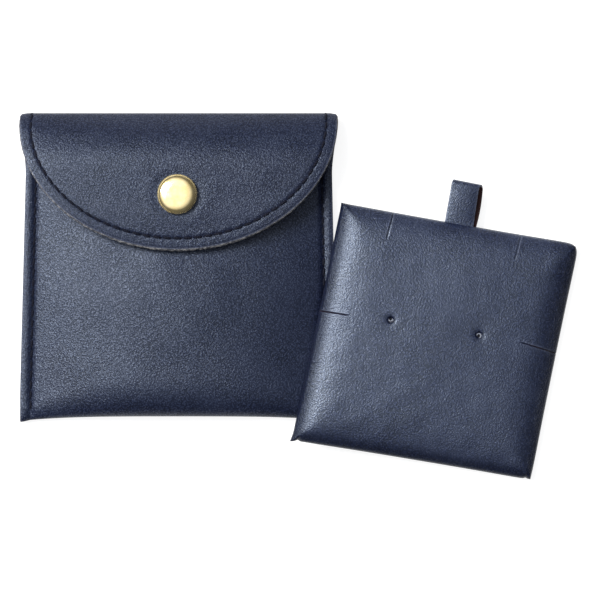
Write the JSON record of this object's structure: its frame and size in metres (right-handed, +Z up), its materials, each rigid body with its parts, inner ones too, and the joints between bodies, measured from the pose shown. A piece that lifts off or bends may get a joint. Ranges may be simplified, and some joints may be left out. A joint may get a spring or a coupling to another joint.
{
  "type": "travel jewelry case",
  "caption": "Flat square snap pouch with a curved fold-over flap and side seams, and a crowned padded display card with earring holes, chain slits and a pull loop, resting against it.",
  "frame": {"origin": "middle of the pouch's back, on the table it lies on", "axes": "+X to the right along the pouch's width, +Y towards the flap's fold, +Z up out of the pouch's front"},
  "size_m": [0.1583, 0.104, 0.0145],
  "materials": {
    "leatherette": "satin",
    "suede_lining": "matte",
    "thread": "matte",
    "brass_gold": "polished",
    "spring_steel": "satin",
    "foam": "matte",
    "board": "matte",
    "eyelet_plastic": "satin"
  },
  "bodies": {
    "pouch": {"outer_shell": "leatherette", "pocket_lining": "suede_lining", "side_stitch_left": "thread", "side_stitch_right": "thread", "snap_stud": "brass_gold", "snap_post": "brass_gold", "fold_outer": "leatherette", "fold_lining": "suede_lining"},
    "flap": {"flap_outer": "leatherette", "flap_lining": "suede_lining", "flap_stitch": "thread", "snap_cap": "brass_gold", "snap_socket": "brass_gold", "snap_spring": "spring_steel"},
    "card": {"card_cover": "leatherette", "card_foam": "foam", "card_board": "board", "card_back": "suede_lining", "eyelet_left": "eyelet_plastic", "eyelet_right": "eyelet_plastic", "loop_tail": "leatherette"},
    "loop": {"pull_loop": "leatherette"}
  },
  "joints": [
    {"name": "flap_hinge", "type": "hinge", "parent": "pouch", "child": "flap", "pos_m": [0, 0.044, 0.0026], "axis": [-1, 0, 0], "range_deg": [0, 155], "deforming": ["fold_outer", "fold_lining", "snap_spring"]},
    {"name": "card_lift", "type": "slide", "parent": "pouch", "child": "card", "axis": [0, 0, 1], "range_m": [0, 0.06]},
    {"name": "loop_bend", "type": "hinge", "parent": "card", "child": "loop", "pos_m": [0.07925, 0.01259, 0.00415], "axis": [0.9784, -0.1849, -0.0924], "range_deg": [-10, 45], "stiffness_Nm_per_rad": 0.002}
  ]
}
